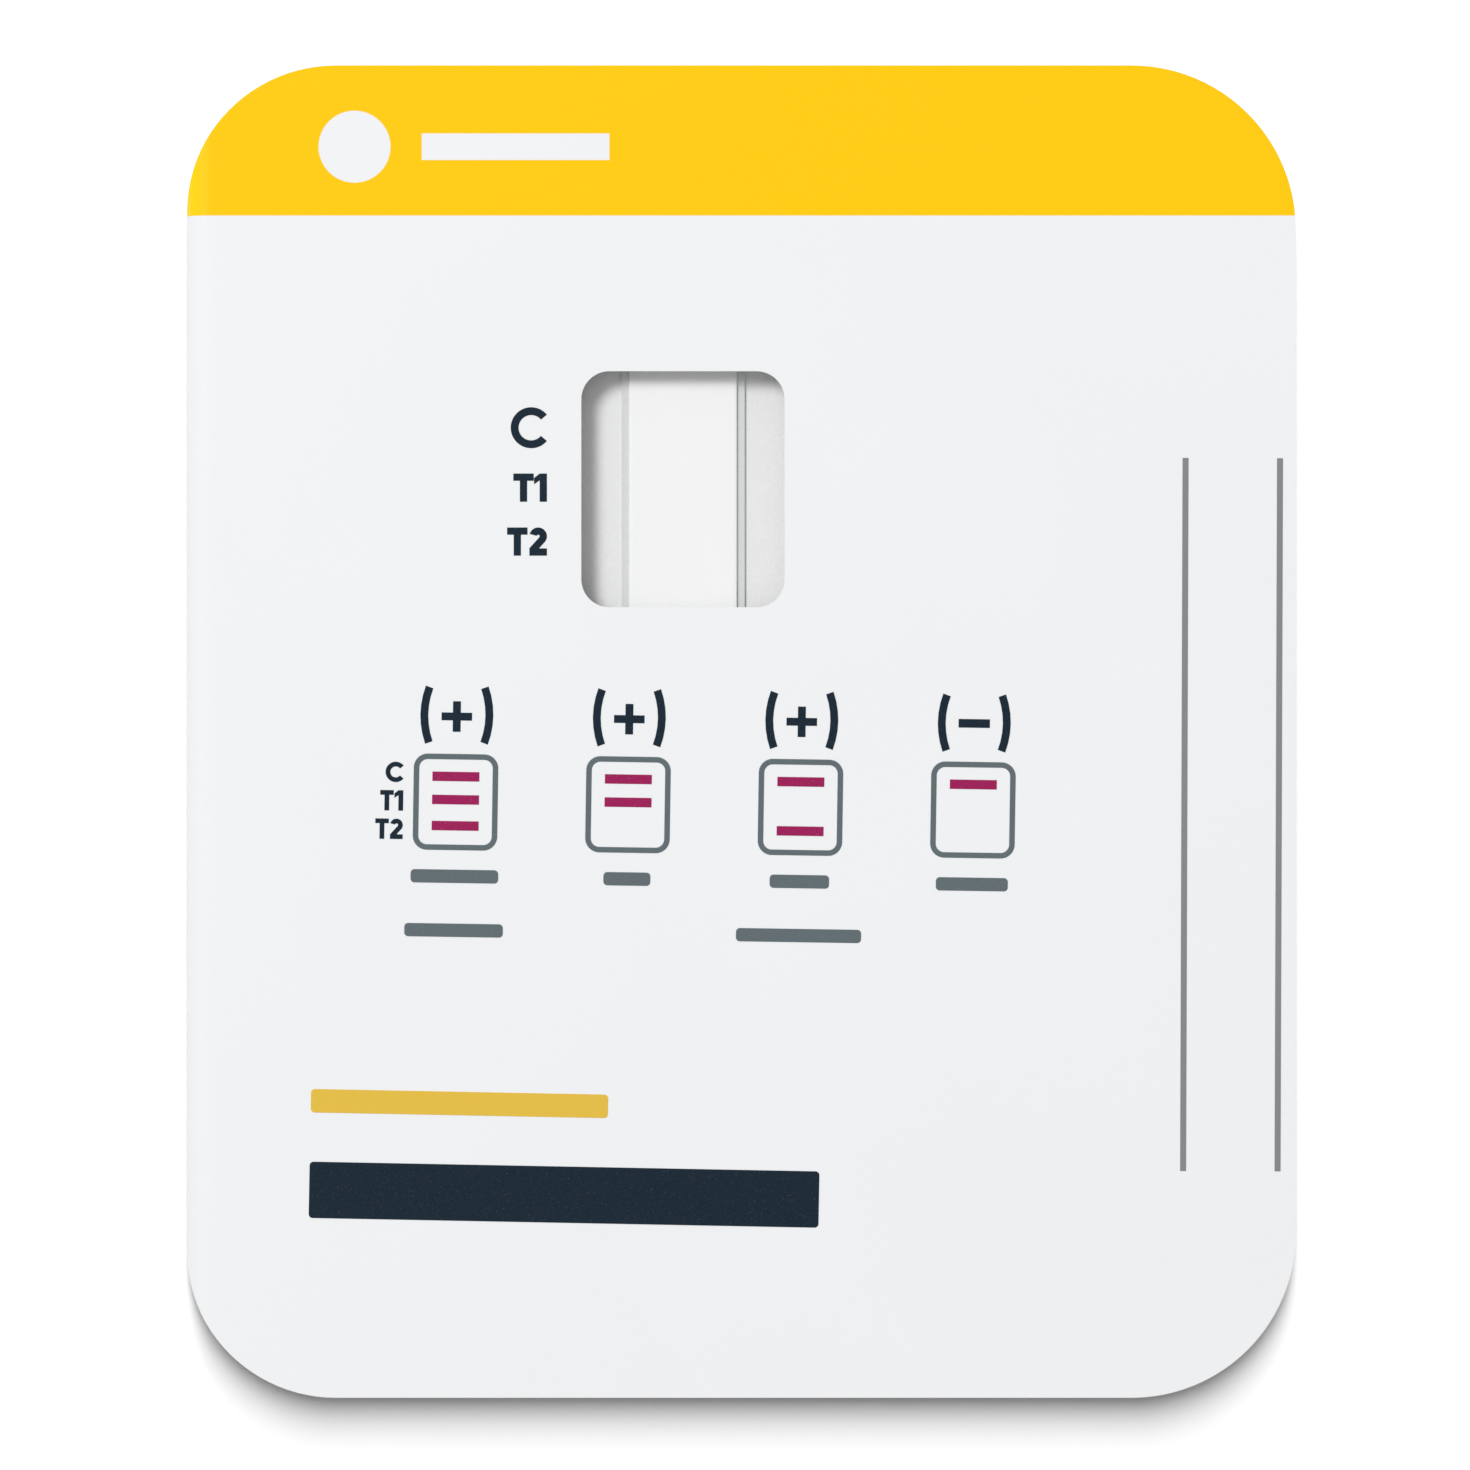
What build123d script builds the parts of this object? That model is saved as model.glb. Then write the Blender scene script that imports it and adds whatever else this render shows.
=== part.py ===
"""Fold-over lateral flow test card, closed and unused, lying on its back cover.

Millimetres, +Z up. The spine is at -X, the printed header at +Y, and the printed
front faces +Z. The origin is in the middle of the card, on the surface it lies on.
"""

import os

from build123d import *

# Board blank
card_width = 71.0  # spine face to the open edge
card_height = 85.2
corner_radius = 9.6
board = 0.6
inner_gap = 1.3  # free height between the two covers

# Folds
fold_round = 1.2  # outer radius of the board where it bends round the spine
tightest_bend = 0.1  # least inner radius of the bent board
fold_clearance = 0.05  # gap across each mitre
spine_end_clearance = 0.1

# Reading window
window_width = 13.0
window_height = 15.1
window_radius = 1.8
window_from_spine = 31.8  # spine face to the window's centre line
window_from_top = 27.1  # top edge to the window's centre line

# Test strip, from its upper end down
strip_width = 6.9
backing_margin = 0.5  # the backing shows this much on each side of the membrane
strip_from_top = 5.0
backing_thickness = 0.2
membrane_thickness = 0.2
pad_thickness = 0.3
pad_lap = 2.0  # how far each pad lies over its neighbour
pad_climb = 0.7  # length over which a pad climbs onto its neighbour
absorbent_length = 11.0
membrane_length = 30.0
sample_length = 9.0
reagent_length = 16.0

# Pads inside the front cover
wash_width = 12.0
wash_length = 10.0
wash_thickness = 0.45
wash_above_window = 1.2
clearing_width = 14.0
clearing_length = 28.0
clearing_thickness = 0.35
clearing_below_window = 3.2
cover_pad_radius = 0.8

# Closure along the open edge
adhesive_width = 6.0
adhesive_length = 60.0
adhesive_thickness = 0.15
adhesive_inset = 0.9  # open edge to the adhesive
liner_thickness = 0.1
liner_overhang = 0.3  # the liner stands past the adhesive on three sides
tab_length = 4.0
tab_width = 5.0

# Print
ink = 0.02
header_height = 9.6
emblem_radius = 2.3
emblem_from_spine = 10.8
header_bar_length = 12.0
header_bar_height = 1.7
header_bar_from_spine = 21.1
header_mark_from_top = 5.2

key_count = 4
key_pitch = 11.03
key_from_spine = 33.8  # spine face to the middle of the row
key_from_top = 47.36
key_tilt = -0.88  # the lower print was laid on slightly turned
key_width = 5.4
key_height = 6.15
key_radius = 0.9
key_line = 0.35
result_length = 3.0
result_height = 0.6
result_rows = {"control": 1.63, "test 1": 0.15, "test 2": -1.52}
key_results = (("control", "test 1", "test 2"), ("control", "test 1"), ("control", "test 2"), ("control",))
caption_drop = 4.75  # middle of a key frame to the first caption line
caption_pitch = 3.45
caption_height = 0.85
caption_lengths = ((5.6, 6.3), (3.0,), (3.8, 8.0), (4.6,))

title_left = 7.9  # spine face to the left end of both title lines
title_tilt = -1.1
name_from_top = 66.2
name_length = 19.0
name_height = 1.5
title_from_top = 71.9
title_length = 32.6
title_height = 3.6
bar_radius = 0.25

writing_length = 45.6
writing_line = 0.38
writing_from_top = 47.8
writing_from_edge = (1.1, 7.14)  # open edge to each line
writing_tilt = -0.2

# Places that follow from the sizes
closed = 2 * board + inner_gap
spine_x = -card_width / 2
open_x = card_width / 2
top_y = card_height / 2
fold_length = card_height - 2 * corner_radius
window_x = spine_x + window_from_spine
window_y = top_y - window_from_top
backing_top = board + backing_thickness
cover_inside = closed - board
inside_round = max(fold_round - board, tightest_bend)


def fold_wedge(ease, length):
    """Prism between the two mitre planes, which meet halfway up the spine, moved out by ease."""
    shift = ease * 2**0.5
    with BuildPart() as wedge:
        with BuildSketch(Plane.XZ):
            Polygon(
                (spine_x, -shift),
                (spine_x + closed / 2 + shift, closed / 2),
                (spine_x, closed + shift),
                align=None,
            )
        extrude(amount=length / 2, both=True)
    return wedge.part


def lapped_pad(name, free_y, lapped_y, rise):
    """Strip pad whose free end lies on the backing and whose other end climbs by rise over its neighbour."""
    toward_free = 1 if free_y > lapped_y else -1
    step_high = lapped_y + toward_free * pad_lap
    step_low = step_high + toward_free * pad_climb
    underside = [
        (free_y, backing_top),
        (step_low, backing_top),
        (step_high, backing_top + rise),
        (lapped_y, backing_top + rise),
    ]
    upper_side = [(y, z + pad_thickness) for y, z in reversed(underside)]
    with BuildPart() as pad:
        with BuildSketch(Plane.YZ.offset(window_x - strip_width / 2)):
            with BuildLine():
                Polyline(*underside, *upper_side, close=True)
            make_face()
        extrude(amount=strip_width)
    pad.part.label = name
    return pad


def cover_pad(name, width, length, thickness, centre_y):
    """Soft pad stuck to the inside of the front cover, in line with the strip."""
    with BuildPart() as pad:
        with BuildSketch(Plane.XY.offset(cover_inside - thickness)):
            with Locations((window_x, centre_y)):
                RectangleRounded(width, length, cover_pad_radius)
        extrude(amount=thickness)
    pad.part.label = name
    return pad


# The whole blank, folded: its section bends round the spine and is open on the right
with BuildPart() as folded_board:
    with BuildSketch(Plane.XZ) as section:
        with Locations((spine_x, 0)):
            Rectangle(card_width, closed, align=(Align.MIN, Align.MIN))
        fillet(section.vertices().group_by(Axis.X)[0], radius=fold_round)
        with BuildSketch(mode=Mode.SUBTRACT) as inside:
            with Locations((spine_x + board, board)):
                Rectangle(card_width, inner_gap, align=(Align.MIN, Align.MIN))
            fillet(inside.vertices().group_by(Axis.X)[0], radius=inside_round)
    extrude(amount=card_height / 2, both=True)
    with BuildSketch():
        RectangleRounded(card_width, card_height, corner_radius)
    extrude(amount=closed, mode=Mode.INTERSECT)

# Back cover
with BuildPart() as back_cover:
    add(folded_board.part)
    add(fold_wedge(fold_clearance / 2, card_height), mode=Mode.SUBTRACT)
    split(bisect_by=Plane.XY.offset(closed / 2), keep=Keep.BOTTOM)
back_cover.part.label = "back_cover"

# Spine, as long as the straight stretch between the rounded corners
with BuildPart() as spine:
    add(folded_board.part)
    add(fold_wedge(-fold_clearance / 2, fold_length - 2 * spine_end_clearance), mode=Mode.INTERSECT)
spine.part.label = "spine"

# Front cover with the reading window
with BuildPart() as front_cover:
    add(folded_board.part)
    add(fold_wedge(fold_clearance / 2, card_height), mode=Mode.SUBTRACT)
    split(bisect_by=Plane.XY.offset(closed / 2), keep=Keep.TOP)
    with BuildSketch():
        with Locations((window_x, window_y)):
            RectangleRounded(window_width, window_height, window_radius)
    extrude(amount=closed, mode=Mode.SUBTRACT)
front_cover.part.label = "front_cover"

# Test strip: each end follows from the length of the piece above it
strip_top = top_y - strip_from_top
backing_width = strip_width + 2 * backing_margin
absorbent_low = strip_top - absorbent_length
membrane_high = absorbent_low + pad_lap
membrane_low = membrane_high - membrane_length
sample_high = membrane_low + pad_lap
sample_low = sample_high - sample_length
reagent_high = sample_low + pad_lap
reagent_low = reagent_high - reagent_length

with BuildPart() as strip_backing:
    with BuildSketch(Plane.XY.offset(board)):
        with Locations((window_x, strip_top)):
            Rectangle(backing_width, strip_top - reagent_low, align=(Align.CENTER, Align.MAX))
    extrude(amount=backing_thickness)
strip_backing.part.label = "strip_backing"

with BuildPart() as membrane:
    with BuildSketch(Plane.XY.offset(backing_top)):
        with Locations((window_x, membrane_high)):
            Rectangle(strip_width, membrane_length, align=(Align.CENTER, Align.MAX))
    extrude(amount=membrane_thickness)
membrane.part.label = "membrane"

absorbent_pad = lapped_pad("absorbent_pad", strip_top, absorbent_low, membrane_thickness)
sample_pad = lapped_pad("sample_pad", sample_low, sample_high, membrane_thickness)
reagent_pad = lapped_pad("reagent_pad", reagent_low, reagent_high, pad_thickness)

# Pads inside the front cover
window_high = window_y + window_height / 2
window_low = window_y - window_height / 2
wash_y = window_high + wash_above_window + wash_length / 2
clearing_y = window_low - clearing_below_window - clearing_length / 2
wash_pad = cover_pad("wash_pad", wash_width, wash_length, wash_thickness, wash_y)
clearing_pad = cover_pad("clearing_pad", clearing_width, clearing_length, clearing_thickness, clearing_y)

# Adhesive strip along the open edge, and its release liner with a grip tab
adhesive_x = open_x - adhesive_inset - adhesive_width / 2
with BuildPart() as adhesive_strip:
    with BuildSketch(Plane.XY.offset(board)):
        with Locations((adhesive_x, 0)):
            Rectangle(adhesive_width, adhesive_length)
    extrude(amount=adhesive_thickness)
adhesive_strip.part.label = "adhesive_strip"

liner_width = adhesive_width + 2 * liner_overhang
liner_length = adhesive_length + liner_overhang
with BuildPart() as release_liner:
    with BuildSketch(Plane.XY.offset(board + adhesive_thickness)):
        with Locations((adhesive_x, adhesive_length / 2)):
            Rectangle(liner_width, liner_length, align=(Align.CENTER, Align.MAX))
            SlotCenterToCenter(2 * tab_length - tab_width, tab_width, rotation=90)
    extrude(amount=liner_thickness)
release_liner.part.label = "release_liner"

# Header band, with the plain marks left unprinted in it
front_face = Plane.XY.offset(closed)
header_low = top_y - header_height
mark_y = top_y - header_mark_from_top
with BuildPart() as header_print:
    with BuildSketch(front_face):
        RectangleRounded(card_width, card_height, corner_radius)
        with Locations((spine_x + fold_round, header_low)):
            Rectangle(card_width, header_height, align=(Align.MIN, Align.MIN), mode=Mode.INTERSECT)
        with Locations((spine_x + emblem_from_spine, mark_y)):
            Circle(emblem_radius, mode=Mode.SUBTRACT)
        with Locations((spine_x + header_bar_from_spine, mark_y)):
            RectangleRounded(header_bar_length, header_bar_height, bar_radius, mode=Mode.SUBTRACT)
    extrude(amount=ink)
header_print.part.label = "header_print"

# Result key: a row of small pictures of the window, each with its lines and caption
key_plane = Plane((spine_x + key_from_spine, top_y - key_from_top, closed)).rotated((0, 0, key_tilt))
key_columns = [(column - (key_count - 1) / 2) * key_pitch for column in range(key_count)]
result_places = [
    (x, result_rows[row]) for x, rows in zip(key_columns, key_results) for row in rows
]

with BuildPart() as key_frames:
    with BuildSketch(key_plane):
        with Locations(*[(x, 0) for x in key_columns]):
            RectangleRounded(key_width, key_height, key_radius)
            RectangleRounded(
                key_width - 2 * key_line,
                key_height - 2 * key_line,
                key_radius - key_line,
                mode=Mode.SUBTRACT,
            )
    extrude(amount=ink)
key_frames.part.label = "key_frames"

with BuildPart() as result_bars:
    with BuildSketch(key_plane):
        with Locations(*result_places):
            Rectangle(result_length, result_height)
    extrude(amount=ink)
result_bars.part.label = "result_bars"

with BuildPart() as caption_bars:
    with BuildSketch(key_plane):
        for x, lengths in zip(key_columns, caption_lengths):
            for line, length in enumerate(lengths):
                with Locations((x, -caption_drop - line * caption_pitch)):
                    RectangleRounded(length, caption_height, bar_radius)
    extrude(amount=ink)
caption_bars.part.label = "caption_bars"

# Name and title places, each a plain bar
title_plane = Plane((spine_x + title_left, top_y - title_from_top, closed)).rotated((0, 0, title_tilt))
with BuildPart() as name_bar:
    with BuildSketch(title_plane):
        with Locations((name_length / 2, title_from_top - name_from_top)):
            RectangleRounded(name_length, name_height, bar_radius)
    extrude(amount=ink)
name_bar.part.label = "name_bar"

with BuildPart() as title_bar:
    with BuildSketch(title_plane):
        with Locations((title_length / 2, 0)):
            RectangleRounded(title_length, title_height, bar_radius)
    extrude(amount=ink)
title_bar.part.label = "title_bar"

# Two lines to write between, along the open edge
writing_plane = Plane((0, top_y - writing_from_top, closed)).rotated((0, 0, writing_tilt))
with BuildPart() as writing_lines:
    with BuildSketch(writing_plane):
        with Locations(*[(open_x - inset, 0) for inset in writing_from_edge]):
            Rectangle(writing_line, writing_length)
    extrude(amount=ink)
writing_lines.part.label = "writing_lines"

os.makedirs("parts", exist_ok=True)
for piece in (
    back_cover,
    spine,
    front_cover,
    strip_backing,
    membrane,
    absorbent_pad,
    sample_pad,
    reagent_pad,
    wash_pad,
    clearing_pad,
    adhesive_strip,
    release_liner,
    header_print,
    key_frames,
    result_bars,
    caption_bars,
    name_bar,
    title_bar,
    writing_lines,
):
    export_step(piece.part, f"parts/{piece.part.label}.step")
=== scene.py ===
"""Fold-over lateral flow test card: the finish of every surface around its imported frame.

Each cover is one bent sheet of board up to the middle of the spine, the strip's pads are soft
slabs, and the printed marks are thin films on the front. Metres, in the frame's own axes.
"""

import math

import bmesh
import bpy
from bpy.props import FloatProperty, FloatVectorProperty, IntProperty, PointerProperty
from mathutils import Matrix, Vector, noise


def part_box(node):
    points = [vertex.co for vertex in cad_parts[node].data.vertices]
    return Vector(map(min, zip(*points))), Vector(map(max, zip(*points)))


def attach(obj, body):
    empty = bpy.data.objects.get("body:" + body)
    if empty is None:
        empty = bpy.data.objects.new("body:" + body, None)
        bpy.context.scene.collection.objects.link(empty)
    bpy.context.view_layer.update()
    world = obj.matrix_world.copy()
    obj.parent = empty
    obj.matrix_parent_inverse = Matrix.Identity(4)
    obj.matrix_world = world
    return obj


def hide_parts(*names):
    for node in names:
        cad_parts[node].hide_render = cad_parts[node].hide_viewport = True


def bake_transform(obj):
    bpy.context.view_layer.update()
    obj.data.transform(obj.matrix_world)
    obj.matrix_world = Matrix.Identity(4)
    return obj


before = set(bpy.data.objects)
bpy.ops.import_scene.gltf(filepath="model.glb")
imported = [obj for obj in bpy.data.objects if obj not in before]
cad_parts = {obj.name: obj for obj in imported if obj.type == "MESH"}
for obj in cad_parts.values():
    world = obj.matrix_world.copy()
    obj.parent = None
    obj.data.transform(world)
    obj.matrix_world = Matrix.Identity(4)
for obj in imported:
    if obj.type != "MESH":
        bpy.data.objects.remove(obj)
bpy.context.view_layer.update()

bl_info = {
    "name": "Lateral Flow Test Card",
    "version": (1, 0, 0),
    "blender": (4, 5, 0),
    "location": "3D View > Sidebar > Test Card",
    "description": "Models and finishes a folded paperboard test card around its frame",
    "category": "Object",
}

MM = 0.001

# Places that come from the frame
FRONT_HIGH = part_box("front_cover")[1]
BACK_LOW, BACK_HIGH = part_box("back_cover")
BACKING_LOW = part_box("strip_backing")[0]
MEMBRANE_LOW, MEMBRANE_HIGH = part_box("membrane")
HEADER_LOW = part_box("header_print")[0]
KEY_LOW, KEY_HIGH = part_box("key_frames")
SPINE_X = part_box("spine")[0].x
SPINE_MIDDLE = (BACK_LOW.z + FRONT_HIGH.z) / 2


def setting(kind, **options):
    """Returns a function that makes one kind of setting, from its name, description and default."""
    return lambda name, description, default: kind(
        name=name, description=description, default=default, **options
    )


length = setting(FloatProperty, unit="LENGTH", precision=5, min=0.0)
place_of = setting(FloatProperty, unit="LENGTH", precision=5)
angle = setting(FloatProperty, subtype="ANGLE")
number = setting(FloatProperty, min=0.0)
facets = setting(IntProperty, min=4, max=64)
colour = setting(FloatVectorProperty, subtype="COLOR", size=3, min=0.0, max=1.0)


class BoardSettings(bpy.types.PropertyGroup):
    """Sizes and colours of the folded board."""

    thickness: length("Board", "Thickness of the paperboard", BACKING_LOW.z - BACK_LOW.z)
    spine_radius: length("Spine Radius", "Radius of the corners beside the spine", 9.6 * MM)
    open_radius: length("Open Radius", "Radius of the corners of the open side", 10.5 * MM)
    corner_steps: facets("Corner Steps", "Facets in each corner", 24)
    fold_reach: length("Fold Reach", "Width over which the board bends into the spine", 1.6 * MM)
    fold_steps: facets("Fold Steps", "Facets across each bend", 14)
    fold_settle: length("Fold Settle", "Flat margin beside the bend that still gives a little", 0.5 * MM)
    edge_round: length("Edge Round", "Rounding of the die-cut edges", 0.06 * MM)
    window_width: length("Window Width", "Width of the reading window", 13.0 * MM)
    window_height: length("Window Height", "Height of the reading window", 15.1 * MM)
    window_radius: length("Window Radius", "Radius of the window's corners", 1.8 * MM)
    window_from_spine: length("Window From Spine", "Spine face to the window's centre line", 31.8 * MM)
    window_from_top: length("Window From Top", "Top edge to the window's centre line", 27.1 * MM)
    coated: colour("Coated Side", "White of the coated outer side", (0.862, 0.872, 0.884))
    # Painted shade: how far the coating's white is darkened at the fold's outer line
    crease_shade_tone: number("Crease Tone", "Brightness of the coating at the fold's outer line", 0.84)
    inside: colour("Inner Side", "White of the uncoated inner side", (0.785, 0.787, 0.792))
    core: colour("Core", "Colour of the board's cut edges", (0.8, 0.795, 0.78))


class StripSettings(bpy.types.PropertyGroup):
    """Sizes and colours of the test strip and of the pads inside the front cover."""

    pad_lap: length("Pad Lap", "Length of a pad that lies over its neighbour", 2.0 * MM)
    pad_climb: length("Pad Climb", "Length over which a pad climbs onto its neighbour", 0.7 * MM)
    pad_cell: length("Pad Cell", "Size of the facets of a strip's pad", 0.25 * MM)
    unevenness: length("Unevenness", "Height of the unevenness of a pad's surface", 0.035 * MM)
    membrane_unevenness: length("Membrane Unevenness", "Height of the membrane's waves", 0.004 * MM)
    cover_pad_radius: length("Cover Pad Radius", "Radius of the corners of the cover's pads", 0.8 * MM)
    fibre_length: length("Fibre Length", "Length of a pad's fibres", 1.1 * MM)
    membrane: colour("Membrane", "Colour of the membrane", (0.88, 0.883, 0.888))
    paper: colour("Pad Paper", "Colour of the white pads", (0.85, 0.845, 0.82))
    dye: colour("Dried Reagent", "Colour of the dyed pad", (0.33, 0.10, 0.27))
    backing: colour("Backing", "Colour of the plastic backing", (0.635, 0.645, 0.66))


class ClosureSettings(bpy.types.PropertyGroup):
    """Sizes and colours of the adhesive strip and its liner."""

    tab_width: length("Tab Width", "Width of the liner's grip tab", 5.0 * MM)
    tab_length: length("Tab Length", "Length of the liner's grip tab", 4.0 * MM)
    tab_lift: length("Tab Lift", "Height to which the tab's end curls up", 0.45 * MM)
    tab_steps: facets("Tab Steps", "Facets along the tab", 8)
    adhesive: colour("Adhesive", "Colour of the adhesive", (0.78, 0.76, 0.68))
    liner: colour("Liner", "Colour of the release liner", (0.83, 0.78, 0.62))


class PrintSettings(bpy.types.PropertyGroup):
    """Places, sizes and colours of the print on the front."""

    film: length("Film", "Thickness of the printed film", 0.02 * MM)
    emblem_from_spine: length("Emblem From Spine", "Spine face to the plain disc's middle", 10.8 * MM)
    emblem_radius: length("Emblem Radius", "Radius of the plain disc", 2.3 * MM)
    bar_from_spine: length("Bar From Spine", "Spine face to the middle of the plain bar", 21.1 * MM)
    bar_length: length("Bar Length", "Length of the plain bar", 12.0 * MM)
    bar_height: length("Bar Height", "Height of the plain bar", 1.7 * MM)
    header_mark_from_top: length("Marks From Top", "Top edge to the marks of the header", 5.2 * MM)
    letter_gap: length("Letter Gap", "Window's left side to the letters beside it", 2.2 * MM)
    key_letter_gap: length("Key Letter Gap", "First key picture's middle to its letters", 3.35 * MM)
    key_pitch: length("Key Pitch", "Distance between the pictures of the key", 11.03 * MM)
    key_tilt: angle("Key Tilt", "Turn of the result key on the front", math.radians(-0.88))
    sign_rise: length("Sign Rise", "Middle of a key picture to the middle of its sign", 5.56 * MM)
    header: colour("Header", "Colour of the header band", (0.985, 0.59, 0.001))
    navy: colour("Navy Ink", "Colour of the letters, signs and title", (0.004, 0.014, 0.026))
    grey: colour("Grey Ink", "Colour of the key's frames and captions", (0.115, 0.145, 0.16))
    magenta: colour("Magenta Ink", "Colour of the result bars", (0.32, 0.010, 0.092))
    ochre: colour("Ochre Ink", "Colour of the name bar", (0.76, 0.5, 0.06))
    ruling: colour("Ruling Ink", "Colour of the two writing lines", (0.24, 0.24, 0.25))


class StageSettings(bpy.types.PropertyGroup):
    """Floor, light and camera."""

    floor_size: length("Floor", "Side of the square floor", 3.0)
    floor: colour("Floor Colour", "Pale grey, which its own lamp lights up to white", (0.6, 0.6, 0.6))
    sky: number("Sky", "Share of the light that comes from all round", 0.45)
    key: number("Key", "Share of the card's light from its lamp", 0.58)
    wash: number("Wash", "Share of the floor's light from its own lamp", 1.67)
    lamp_distance: length("Lamp Distance", "Distance of both lamps from the card", 2.0)
    view_width: length("View Width", "Width of the photograph at the front of the card", 94.0 * MM)
    lens: number("Lens", "Focal length in millimetres", 190.0)
    view_x: place_of("View X", "Place of the camera across", -0.37 * MM)
    view_y: place_of("View Y", "Place of the camera along", -0.22 * MM)


# Modelling


def deselect_all():
    """Goes to object mode with nothing selected, so the next operator acts on what it adds."""
    if bpy.context.mode != "OBJECT":
        bpy.ops.object.mode_set(mode="OBJECT")
    bpy.ops.object.select_all(action="DESELECT")


def pick(piece):
    """Goes to object mode with this piece alone selected and active."""
    deselect_all()
    piece.select_set(True)
    bpy.context.view_layer.objects.active = piece


def edit(piece):
    """Opens a piece in edit mode with all of it selected."""
    pick(piece)
    bpy.ops.object.mode_set(mode="EDIT")
    bpy.ops.mesh.select_all(action="SELECT")


def named(name):
    """Names the object that was just added, and returns it."""
    piece = bpy.context.object
    piece.name = name
    piece.data.name = name
    return piece


def lay(piece, place, sides=(1, 1), turn=0.0):
    """Sizes, turns and places a piece that lies about the origin, all in its mesh."""
    pick(piece)
    piece.scale = (*sides, 1)
    piece.rotation_euler = (0, 0, turn)
    piece.location = place
    bpy.ops.object.transform_apply(location=True, rotation=True, scale=True)


def select_where(piece, kind, wanted):
    """In edit mode, selects only the points, edges or faces for which wanted(element) is true."""
    bpy.ops.mesh.select_mode(type=kind)
    bpy.ops.mesh.select_all(action="DESELECT")
    mesh = bmesh.from_edit_mesh(piece.data)
    for element in {"VERT": mesh.verts, "EDGE": mesh.edges, "FACE": mesh.faces}[kind]:
        if wanted(element):
            element.select_set(True)
    bmesh.update_edit_mesh(piece.data)


def rectangle(low, high, height):
    """Middle and sides of the flat rectangle between two corners."""
    middle = ((low[0] + high[0]) / 2, (low[1] + high[1]) / 2, height)
    return middle, (high[0] - low[0], high[1] - low[1])


def plane(name, low, high, height):
    """Flat rectangle between two corners, facing up."""
    deselect_all()
    bpy.ops.mesh.primitive_plane_add(size=1)
    piece = named(name)
    lay(piece, *rectangle(low, high, height))
    return piece


def add_rectangle(middle, sides):
    """In edit mode, adds a flat rectangle, and leaves it alone selected."""
    bpy.ops.mesh.select_all(action="DESELECT")
    bpy.ops.mesh.primitive_plane_add(size=1, location=middle)
    bpy.ops.transform.resize(value=(*sides, 1), center_override=middle)


def round_sheet(name, low, high, height, radii, steps, hole=None):
    """Flat sheet with round corners, facing up, left in edit mode. A hole is (low, high, radius).

    Radii are those of its left and of its right corners.
    """
    piece = plane(name, low, high, height)
    edit(piece)
    middle = (low[0] + high[0]) / 2
    for side, radius in zip((-1, 1), radii):
        select_where(piece, "VERT", lambda corner: (corner.co.x - middle) * side > radius)
        bpy.ops.mesh.bevel(offset=radius, segments=steps, affect="VERTICES")
    if hole is not None:
        hole_low, hole_high, hole_radius = hole
        add_rectangle(*rectangle(hole_low, hole_high, height))
        bpy.ops.mesh.bevel(offset=hole_radius, segments=steps, affect="VERTICES")
        bpy.ops.mesh.select_all(action="SELECT")
        bpy.ops.mesh.delete(type="ONLY_FACE")
        bpy.ops.mesh.select_all(action="SELECT")
        bpy.ops.mesh.bridge_edge_loops()
    face_all(piece, up=True)
    return piece


def face_all(piece, up):
    """In edit mode, turns every face of a flat piece to look up, or down."""
    select_where(piece, "FACE", lambda face: (face.normal.z > 0) != up)
    bpy.ops.mesh.flip_normals()
    bpy.ops.mesh.select_all(action="SELECT")


def cut_across(places, axis):
    """In edit mode, cuts the mesh by planes square to an axis."""
    normal = [float(axis == i) for i in range(3)]
    for place in places:
        bpy.ops.mesh.select_all(action="SELECT")
        bpy.ops.mesh.bisect(plane_co=[place * n for n in normal], plane_no=normal)


def thicken(piece, thickness, offset=-1, inner_slot=0, rim_slot=0):
    """Gives a sheet its thickness, behind its faces unless offset says otherwise."""
    pick(piece)
    wall = piece.modifiers.new("thickness", "SOLIDIFY")
    wall.thickness = thickness
    wall.offset = offset
    wall.use_even_offset = True
    wall.use_quality_normals = True
    wall.material_offset = inner_slot
    wall.material_offset_rim = rim_slot
    bpy.ops.object.modifier_apply(modifier=wall.name)


def round_edges(piece, width, steps, spared):
    """Rounds every edge sharper than 60 degrees, apart from the spared ones."""
    limit = math.radians(60)

    def sharp(edge):
        return edge.is_manifold and edge.calc_face_angle() > limit and not spared(edge)

    edit(piece)
    select_where(piece, "EDGE", sharp)
    bpy.ops.mesh.bevel(offset=width, segments=steps, affect="EDGES", clamp_overlap=True)
    deselect_all()


def smooth(piece, angle):
    """Shades a piece smooth, apart from the edges sharper than an angle in degrees."""
    pick(piece)
    bpy.ops.object.shade_smooth_by_angle(angle=math.radians(angle))
    deselect_all()


def keep_rest_place(piece):
    """Stores where each point lies in the closed card, for patterns that must bend with the board."""
    places = piece.data.attributes.new("rest_place", "FLOAT_VECTOR", "POINT")
    for point, vertex in zip(places.data, piece.data.vertices):
        point.vector = vertex.co


def finish(piece, materials, body, slot, *nodes):
    """Gives a finished piece its materials, its body and the CAD nodes that it stands for."""
    for material in materials:
        piece.data.materials.append(material)
    if body is not None:
        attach(piece, body)
    if nodes:
        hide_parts(*nodes)


# Shader nodes


def add_node(tree, kind, inputs=None, **settings):
    """Adds a shader node, with its settings and its inputs by name or number."""
    node = tree.nodes.new(kind)
    for key, value in settings.items():
        setattr(node, key, value)
    for key, value in (inputs or {}).items():
        if isinstance(value, bpy.types.NodeSocket):
            tree.links.new(value, node.inputs[key])
        else:
            node.inputs[key].default_value = value
    return node


def maths(tree, operation, first, second=0.0):
    """One sum on values."""
    return add_node(tree, "ShaderNodeMath", {0: first, 1: second}, operation=operation).outputs[0]


def multiplied(tree, vector, factors):
    """Place whose parts are multiplied each by its own factor, which draws a pattern out."""
    inputs = {0: vector, 1: factors}
    return add_node(tree, "ShaderNodeVectorMath", inputs, operation="MULTIPLY").outputs[0]


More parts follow.
